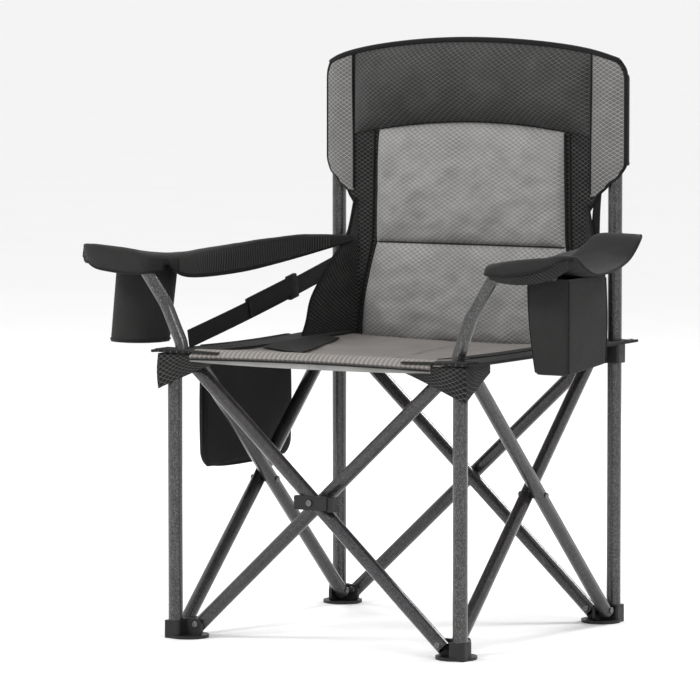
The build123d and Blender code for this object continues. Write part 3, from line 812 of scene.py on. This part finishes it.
def build_seat():
    """Each half of the seat with its front roll and hem, and the side band beyond it."""
    wide = SEAT_SIDE - 0.8
    for side in (-1, 1):
        name = NAMES[side]

        def top(u, v):
            x = 0.3 + wide * u
            start = seat_rim(x) + ROLL_BACK - 6
            y = start + (SEAT_BACK - start) * v
            return Vector((x, y, seat_z(x, y) - 3))

        def lip(u, v):
            x = 0.3 + wide * u
            y = seat_rim(x) + ROLL_BACK * v ** 1.6
            return Vector((x, y, seat_z(x, y) - 1.4 - 0.6 * v))

        def hem(u, v):
            x = 0.3 + wide * u
            z = seat_z(x, seat_rim(x)) - 5 - (3 + 7 * (1 - (x / 240) ** 2)) * (1 - v)
            return Vector((x, seat_rim(x) + 1 + 2 * (1 - v), z))

        def foot(u, v):
            inner = Vector((135 + 62 * v, -101 + 242 * v))
            outer = Vector((214 + 19 * min(1.0, v * 3.2), -97 + 242 * v))
            spot = inner.lerp(outer, u)
            return Vector((spot.x, spot.y, seat_z(spot.x, spot.y) + 4.4))

        panel = pad_piece(f"{name}_seat_cushion", 48, 80, mirrored(top, side), 233, 516, 9, SEAT_CLOTH, 0.25, 1.8,
                          back=0.55, seed=side * 4.3)
        SEAT[side].take(panel, "pad_fabric", f"{name}_seat_panel")
        roll = sheet_piece(f"{name}_seat_front_roll", 60, 24, mirrored(lip, side), 233, 80, SEAT_RIB, 5.0, 60)
        declare_sheet(roll, 233, 80, "stretched", [panel.name])
        SEAT[side].take(roll, "pad_fabric")
        strip = sheet_piece(f"{name}_seat_hem", 60, 4, mirrored(hem, side), 233, 9, HEM_CLOTH, 1.6)
        declare_sheet(strip, 233, 11, "stretched", [roll.name])
        SEAT[side].take(strip, "pad_fabric")
        front = [mirrored(lip, side)(i / 24, 0) + Vector((0, -1.5, -3)) for i in range(25)]
        SEAT[side].take(piping(f"{name}_seat_piping", front, 1.5, BINDING), "dark_fabric")
        patch = sheet_piece(f"{name}_gusset_foot", 12, 24, mirrored(foot, side), 60, 245, SEAM_TAPE, 1.4)
        declare_sheet(patch, 60, 245, "laid", [panel.name])
        SEAT[side].take(patch, "dark_fabric")

        def band(u, v):
            y = -304 + 610 * v
            slack = 1 - min(1.0, abs(y) / 304) ** 2
            x = SEAT_SIDE - 0.2 + (74 - 16 * slack) * u
            return Vector((x, y, 492.6 - 4 * slack * u - 5 * slack * (1 - u)))

        strip = sheet_piece(f"{name}_seat_side_band", 16, 72, mirrored(band, side), 72, 610, DARK_MESH, 3.4)
        declare_sheet(strip, 72, 610, "stretched", ["rear_left_slider" if side < 0 else "rear_right_slider"])
        BAND[side].take(strip, "dark_fabric", f"{name}_side_band")
        free = 1 if side > 0 else 0
        outer = [mirrored(band, side)(free, i / 40) for i in range(41)]
        BAND[side].take(piping(f"{name}_band_binding", outer, 2.6, BINDING), "dark_fabric")
        BAND[side].take(build_eyelets(side), "rivet_steel")


def build_eyelets(side):
    """Two steel eyelets in the rear tip of a side band."""
    rings = []
    for y in (285, 299):
        deselect()
        bpy.ops.mesh.primitive_torus_add(
            major_radius=4 * MM, minor_radius=1.3 * MM, major_segments=28, minor_segments=10,
            location=(side * HUB_HALF * MM, y * MM, 494.6 * MM))
        rings.append(bpy.context.object)
    deselect()
    for ring in rings:
        ring.select_set(True)
    bpy.context.view_layer.objects.active = rings[0]
    bpy.ops.object.join()
    bpy.ops.object.transform_apply()
    rings[0].name = f"{NAMES[side]}_band_eyelets"
    return dress(rings[0], STEEL, 60)


# ---------------------------------------------------------------- front corners


CORNER_IN, CORNER_OUT, CORNER_TOP = 180.0, 298.0, 488.5
CORNER_DEEP = 60.0


def build_corner_pockets():
    """Cloth pockets that wrap the front hubs, and the tabs above them."""
    for side in (-1, 1):
        name = NAMES[side]

        def wrap(u, v):
            # u runs along the front face to the corner, then back along the side face
            if u < 0.55:
                t = u / 0.55
                x, y = CORNER_IN + (CORNER_OUT - CORNER_IN) * t, -CORNER_OUT
                drop = 12 + (CORNER_DEEP - 12) * t ** 1.1
            else:
                t = (u - 0.55) / 0.45
                x, y = CORNER_OUT, -CORNER_OUT + 84 * t
                drop = CORNER_DEEP - 46 * t ** 0.9
            bulge = 3.0 * math.sin(math.pi * min(1, v)) * math.sin(math.pi * u)
            n = Vector((0.4, -1, 0)) if u < 0.55 else Vector((1, -0.3, 0))
            p = Vector((x, y, CORNER_TOP - drop * (1 - v)))
            return p + n.normalized() * bulge

        pocket = sheet_piece(f"{name}_corner_cloth", 40, 14, mirrored(wrap, side), 200, 50, DARK_MESH, 1.8, 60)
        declare_sheet(pocket, 200, 58, "stretched", [f"{name}_seat_side_band"])
        home = Home(f"front_{name}_hub", (0.7071 * side, -0.7071, 0), (side * 0.278, -0.278, 0), 0.2)
        home.take(pocket, "dark_fabric", f"{name}_corner_pocket")

        def tab(u, v):
            x = 178 + (303 - 178) * u
            y = -303 + 42 * v
            return Vector((x, y, 495.5 - 0.02 * (303 - x)))

        cover = sheet_piece(f"{name}_corner_tab", 24, 10, mirrored(tab, side), 125, 42, SEAM_TAPE, 2.6, 60)
        declare_sheet(cover, 125, 42, "laid", [f"{name}_seat_side_band"])
        home.take(cover, "dark_fabric")


# ---------------------------------------------------------------- armrests

# Rows of points from the inner edge to the outer one, listed from the front to the tail.
ARM_ROWS = {
    -1: [
        [(312, -262, 630), (322, -287, 626), (350, -294, 622), (400, -295, 626), (432, -294, 632), (458, -285, 648)],
        [(306, -262, 646), (320, -288, 652), (355, -293, 660), (405, -293, 665), (448, -291, 668), (466, -268, 664)],
        [(302, -225, 620), (303, -228, 651), (345, -240, 652), (400, -243, 652), (448, -244, 650), (480, -238, 652)],
        [(300, -161, 612), (301, -161, 653), (340, -165, 645), (395, -165, 638), (445, -165, 635), (486, -160, 636)],
        [(300, -29, 613), (301, -29, 658), (335, -30, 650), (385, -30, 640), (435, -30, 634), (476, -25, 630)],
        [(298, 73, 620), (298, 75, 661), (318, 75, 656), (345, 78, 650), (378, 80, 643), (412, 84, 637)],
        [(286, 172, 632), (286, 172, 663), (298, 172, 662), (315, 172, 658), (333, 174, 650), (350, 176, 644)],
        [(234, 250, 655), (237, 254, 661), (245, 255, 663), (252, 256, 662), (260, 256, 659), (268, 254, 655)],
    ],
    1: [
        [(318, -262, 644), (331, -289, 643), (365, -294, 642), (419, -295, 650), (458, -292, 662), (486, -280, 671)],
        [(318, -254, 650), (333, -282, 655), (380, -288, 665), (432, -288, 671), (465, -284, 675), (488, -270, 674)],
        [(300, -212, 634), (303, -218, 652), (345, -236, 652), (400, -240, 652), (450, -238, 650), (488, -236, 655)],
        [(299, -170, 628), (301, -172, 648), (340, -188, 644), (390, -193, 641), (440, -195, 640), (489, -198, 643)],
        [(299, -130, 628), (301, -130, 647), (345, -136, 643), (388, -138, 643), (438, -138, 645), (489, -138, 647)],
        [(299, -85, 628), (301, -85, 647), (345, -85, 646), (386, -84, 657), (430, -82, 668), (489, -80, 663)],
        [(298, -40, 630), (300, -40, 648), (352, -42, 651), (390, -44, 682), (416, -43, 699), (488, -36, 699)],
        [(296, 30, 634), (298, 30, 655), (325, 28, 653), (365, 25, 658), (404, 22, 670), (440, 14, 681)],
        [(292, 96, 642), (294, 96, 660), (314, 95, 657), (342, 95, 654), (370, 96, 655), (398, 96, 658)],
        [(284, 172, 650), (286, 172, 667), (298, 172, 666), (315, 172, 660), (333, 174, 653), (350, 176, 647)],
        [(232, 252, 654), (236, 254, 666), (244, 255, 669), (252, 256, 666), (260, 256, 662), (268, 254, 657)],
    ],
}


def build_armrests():
    """Padded armrests that wrap the bent tubes, with bound edges."""
    for side in (-1, 1):
        name = NAMES[side]
        place = mirrored(through(ARM_ROWS[side]), side)
        rest = pad_piece(f"{name}_armrest_pad", 64, 112, place, 230, 560, 5.4, ARM_CLOTH, 0.18, 1.2, back=0.5,
                         seed=side * 9.1)
        if side < 0:
            cut_mouth(rest)
        ARM[side].take(rest, "dark_fabric", f"{name}_armrest")
        inner, outer = (0, 1) if side > 0 else (1, 0)
        runs = {
            "outer": [place(outer, i / 40) for i in range(41)],
            "front": [place(i / 20, 0) for i in range(21)],
            "inner": [place(inner, i / 40) for i in range(41)],
        }
        for tag, run in runs.items():
            ARM[side].take(piping(f"{name}_armrest_{tag}_binding", run, 2.3, BINDING), "dark_fabric")
    build_inner_ribs()
    build_front_drape()


def build_inner_ribs():
    """Ribbed cloth down the inner face of the left armrest."""
    surface = through(ARM_ROWS[-1])

    def face(u, v):
        share = 0.022 + 0.158 * u
        spot = surface(share, 0.27 + 0.66 * v)
        return Vector((-spot.x + 3.6, spot.y, spot.z))

    ribs = sheet_piece("left_armrest_ribs", 8, 90, lambda u, v: face(1 - u, v), 40, 420, ARM_RIB_RUN, 1.0, 60)
    declare_sheet(ribs, 40, 420, "stretched", ["left_armrest_pad"])
    ARM[-1].take(ribs, "dark_fabric")


def build_front_drape():
    """Mesh that hangs below the right armrest's front edge, over the tube."""
    low = [(340, 636), (362, 630), (395, 628), (430, 632), (460, 641), (484, 655)]
    high = [(336, 645), (362, 643), (395, 646), (430, 653), (460, 664), (484, 671)]

    def drape(u, v):
        a, b = (spline([Vector(p) for p in run], u) for run in (low, high))
        spot = a.lerp(b, v)
        return Vector((spot.x, -293.2 + 10 * max(0.0, u - 0.8), spot.y))

    cloth = sheet_piece("right_armrest_front_drape", 40, 8, drape, 150, 22, DRAPE_MESH, 1.4, 60)
    declare_sheet(cloth, 150, 22, "hung", ["right_armrest_pad"])
    ARM[1].take(cloth, "dark_fabric")


CUP = Vector((-386, -194, 0))
CUP_MOUTH = 47.0


def cut_mouth(rest):
    """Opens the armrest over the cup holder."""
    deselect()
    bpy.ops.mesh.primitive_cylinder_add(vertices=48, radius=CUP_MOUTH * MM, depth=0.2,
                                        location=(CUP.x * MM, CUP.y * MM, 0.66))
    tool = bpy.context.object
    apply_modifier(rest, "BOOLEAN", operation="DIFFERENCE", object=tool, solver="EXACT")
    bpy.data.objects.remove(tool, do_unlink=True)


def rounded_loop(half_x, half_y, radius, share):
    """A point on a rounded rectangle, at a share of the way round from the middle of its +X side."""
    runs = [half_y - radius, math.pi * radius / 2, 2 * (half_x - radius), math.pi * radius / 2, half_y - radius]
    way = (share % 1.0) * 2 * sum(runs)
    flip = 1 if way <= sum(runs) else -1
    way = way if flip > 0 else way - sum(runs)
    if way <= runs[0]:
        x, y = half_x, way
    elif way <= sum(runs[:2]):
        turn = (way - runs[0]) / radius
        x = half_x - radius + radius * math.cos(turn)
        y = half_y - radius + radius * math.sin(turn)
    elif way <= sum(runs[:3]):
        x, y = half_x - radius - (way - sum(runs[:2])), half_y
    elif way <= sum(runs[:4]):
        turn = (way - sum(runs[:3])) / radius
        x = -half_x + radius - radius * math.sin(turn)
        y = half_y - radius + radius * math.cos(turn)
    else:
        x, y = -half_x, half_y - radius - (way - sum(runs[:4]))
    return x * flip, y * flip


def bag(name, ring, columns, rows, wide, tall, thick, material):
    """A bag lofted from rings, open at the top: v runs from the middle of its floor to its rim."""
    piece = grid(name, columns, rows, ring, wide, tall)
    face_out(piece, 0.05)
    apply_modifier(piece, "SOLIDIFY", thickness=thick * MM, offset=-1)
    return dress(piece, material, 50)


CUP_TOP, CUP_LOW, CUP_LEAN = 634.0, 497.0, -16.0
CUP_RADIUS, CUP_FLOOR = 51.0, 1.5
POUCH = Vector((426.5, -185, 0))
POUCH_HALF_X, POUCH_HALF_Y, POUCH_CORNER = 38.5, 69.0, 7.0
POUCH_TOP, POUCH_LOW, POUCH_SLOPE, POUCH_NARROW = 637.0, 477.0, 11.0, 7.5


def build_holders():
    """The round cup holder on the left and the square drink pouch on the right."""
    def cup(u, v):
        angle = 2 * math.pi * u
        if v < 0.2:
            r = CUP_RADIUS * (v / 0.2)
            z = CUP_LOW + CUP_FLOOR * (v / 0.2) ** 6
            k = 1.0
        else:
            t = (v - 0.2) / 0.8
            r = CUP_RADIUS + 2 * t + 0.9 * math.sin(3 * angle + 1) * (1 - t)
            z = CUP_LOW + CUP_FLOOR + (CUP_TOP - CUP_LOW - CUP_FLOOR) * t
            k = 1 - t
        return Vector((CUP.x + CUP_LEAN * k + r * math.cos(angle), CUP.y + r * math.sin(angle), z))

    holder = bag("cup_pouch", cup, 72, 40, 333, 200, 3, DOTTED_WEAVE)
    ARM[-1].take(holder, "dark_fabric", "cup_holder")
    for tag, height in (("base", 0.225), ("rim", 0.97)):
        ring = [cup(i / 40, height) for i in range(40)]
        ARM[-1].take(piping(f"cup_{tag}_piping", ring, 1.8, BINDING, closed=True), "dark_fabric")

    def pouch(u, v):
        x, y = rounded_loop(POUCH_HALF_X, POUCH_HALF_Y, POUCH_CORNER, u)
        floor = POUCH_LOW + POUCH_SLOPE * (y + POUCH_HALF_Y) / (2 * POUCH_HALF_Y)
        inward = POUCH_NARROW * (1 - x / POUCH_HALF_X)
        if v < 0.24:
            t = v / 0.24
            return POUCH + Vector((x * t + inward * t, y * t, floor + 3 * t ** 8))
        t = (v - 0.24) / 0.76
        swell = 1 + 0.035 * math.sin(math.pi * t)
        height = floor + 3 + (POUCH_TOP - floor - 3) * t
        return POUCH + Vector((x * swell + inward * (1 - t) ** 1.3, y * swell, height))

    drink = bag("drink_pouch_bag", pouch, 96, 48, 420, 230, 3, DOTTED_WEAVE)
    ARM[1].take(drink, "dark_fabric", "drink_pouch")
    around = 4 * (POUCH_HALF_X + POUCH_HALF_Y) - 8 * POUCH_CORNER + 2 * math.pi * POUCH_CORNER
    front_end = (POUCH_HALF_Y - POUCH_CORNER / 2) / around
    for tag, share in (("rear_outer", front_end), ("front_inner", 0.5 + front_end), ("front_outer", 1 - front_end)):
        seam = [pouch(share, 0.25 + 0.73 * i / 12) for i in range(13)]
        ARM[1].take(piping(f"pouch_{tag}_seam", seam, 1.5, BINDING), "dark_fabric")


# ---------------------------------------------------------------- side pocket and strap


SIDE_POCKET = Vector((-319, 22, 0))
SIDE_POCKET_LOW, SIDE_POCKET_TOP = 274.0, 490.0
SIDE_POCKET_DEEP, SIDE_POCKET_HALF = 7.0, 148.0


def build_side_pocket():
    """A flat pocket that hangs outside the left side band."""
    def pocket(u, v):
        x, y = rounded_loop(SIDE_POCKET_DEEP, SIDE_POCKET_HALF, 6.0, u)
        x, y = x / SIDE_POCKET_DEEP, y / SIDE_POCKET_HALF
        if v < 0.1:
            t = v / 0.1
            depth, wide, z = 3 * t, 130 * t, SIDE_POCKET_LOW + 2 * t
        else:
            t = (v - 0.1) / 0.9
            depth = 5 + 3 * math.sin(math.pi * min(1.0, t * 1.1))
            wide = SIDE_POCKET_HALF - 18 * max(0.0, 1 - t * 8) ** 2
            z = SIDE_POCKET_LOW + 2 + (SIDE_POCKET_TOP - SIDE_POCKET_LOW - 2) * t
        sag = 5 * math.sin(math.pi * (y * 0.5 + 0.5)) * max(0.0, v - 0.6)
        return SIDE_POCKET + Vector((-depth * x, wide * y, z - sag))

    pouch = bag("side_storage_pocket", pocket, 96, 40, 600, 225, 1.6, POCKET_CLOTH)
    BAND[-1].take(pouch, "dark_fabric", "side_pocket")
    outline = [(-126, 482), (-126, 400), (-126, 300), (-112, 280), (-60, 274), (22, 273), (104, 274), (156, 280),
               (170, 300), (170, 400), (170, 482)]
    seam = [(SIDE_POCKET.x + 1, y, z) for y, z in outline]
    BAND[-1].take(piping("side_pocket_binding", seam, 2.2, BINDING), "dark_fabric")


STRAP_A, STRAP_B = Vector((-291, -213, 507)), Vector((-273, 252, 609))
STRAP_WIDE = 32
BUCKLE_SHARES = (0.405, 0.70)


def build_strap():
    """A strap from the left front hub to the back, doubled between its two slides."""
    run = (STRAP_B - STRAP_A).normalized()
    up = Vector((0, -run.z, run.y)).normalized()
    out = up.cross(run)
    home = Home("strap", tuple(run), tuple(STRAP_B * MM), 0.18)

    def ribbon(start, end, lift, width, bow, raised=0.0):
        def place(u, v):
            along = start + (end - start) * v
            middle = STRAP_A.lerp(STRAP_B, along)
            droop = -bow * math.sin(math.pi * v)
            return middle + up * ((u - 0.5) * width + raised) + out * lift + Vector((0, 0, droop))
        return place

    lower = sheet_piece("side_strap_webbing", 4, 60, ribbon(0, 1, 0, STRAP_WIDE, 3), STRAP_WIDE, 477, WEBBING, 1.8)
    declare_sheet(lower, STRAP_WIDE, 477, "stretched", ["rear_left_post"])
    home.take(lower, "webbing", "side_strap")
    first, last = BUCKLE_SHARES
    doubled = ribbon(first - 0.012, last, -3.2, STRAP_WIDE, 0, 4.5)
    tail = sheet_piece("side_strap_tail", 4, 40, doubled, STRAP_WIDE, 145, WEBBING, 2.4)
    declare_sheet(tail, STRAP_WIDE, 145, "laid", [lower.name])
    home.take(tail, "webbing")
    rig.replaces(build_slides(home, run), "strap_slides")


def build_slides(home, run):
    """A plastic slide that holds the doubled webbing, and the short one at its folded end."""
    whole = None
    slope = math.atan2(run.z, run.y)
    inward = -math.atan2(run.x, run.y)
    for share, long, tall in ((BUCKLE_SHARES[0], 0.010, 0.036), (BUCKLE_SHARES[1], 0.028, 0.043)):
        deselect()
        bpy.ops.mesh.primitive_cube_add(size=1, location=(0, 0, 0))
        slide = bpy.context.object
        slide.scale = (0.009, long, tall)
        bpy.ops.object.transform_apply(location=False, rotation=False, scale=True)
        bpy.ops.object.mode_set(mode="EDIT")
        bpy.ops.mesh.select_all(action="SELECT")
        bpy.ops.mesh.bevel(offset=0.0022, segments=3)
        bpy.ops.object.mode_set(mode="OBJECT")
        slide.rotation_euler = (slope, 0, inward)
        slide.location = STRAP_A.lerp(STRAP_B, share) * MM
        bpy.ops.object.transform_apply()
        if whole is None:
            whole = slide
        else:
            pick(whole)
            slide.select_set(True)
            bpy.ops.object.join()
    whole.name = "strap_slide_pair"
    dress(whole, PLASTIC, 40)
    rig.ride(whole, "strap")
    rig.slot(whole, "foot_plastic")
    return whole


# ---------------------------------------------------------------- studio


def build_studio():
    """A white ground and sky, three soft lights and the camera."""
    deselect()
    bpy.ops.mesh.primitive_plane_add(size=240, location=(0, 0, -0.0005))
    floor = bpy.context.object
    floor.name = "studio_floor"
    paper = Finish("pale_floor", (0.9, 0.9, 0.9), 0.9)
    paper.color(paper.mix(paper.noise(400), (0.88, 0.88, 0.88), (0.91, 0.91, 0.91)))
    floor.data.materials.append(paper.material)
    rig.stage(floor)
    world = bpy.data.worlds.new("studio")
    bpy.context.scene.world = world
    world.use_nodes = True
    world.node_tree.nodes["Background"].inputs["Color"].default_value = (1, 1, 1, 1)
    world.node_tree.nodes["Background"].inputs["Strength"].default_value = 1.0
    bpy.context.scene.view_settings.view_transform = "Standard"
    for name, place, size, power in (
        ("key", (-2.6, -3.4, 4.0), 1.4, 170),
        ("fill", (3.9, -2.4, 2.0), 1.0, 40),
        ("rim", (1.0, 3.4, 3.4), 1.4, 120),
    ):
        light = bpy.data.lights.new(name, "AREA")
        light.size = size
        light.energy = power
        lamp = bpy.data.objects.new(name, light)
        bpy.context.scene.collection.objects.link(lamp)
        lamp.location = place
        lamp.rotation_euler = (Vector((0, 0, 0.5)) - Vector(place)).to_track_quat("-Z", "Y").to_euler()
    camera = bpy.data.objects.new("camera", bpy.data.cameras.new("camera"))
    bpy.context.scene.collection.objects.link(camera)
    camera.location = (4.2284, -7.4393, 1.1855)
    camera.rotation_euler = (math.radians(90 - 4.68), 0, math.radians(30.16))
    camera.data.lens = 256
    camera.data.sensor_width = 36
    bpy.context.scene.camera = camera


paint_frame()
build_back()
build_sleeves()
build_gussets()
build_post_webbing()
build_seat()
build_corner_pockets()
build_armrests()
build_holders()
build_side_pocket()
build_strap()
build_studio()

with open("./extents.json", "w") as out:
    json.dump({"cad": [list(p) for p in cad_box], "visual": [list(p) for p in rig.bounds()]}, out)
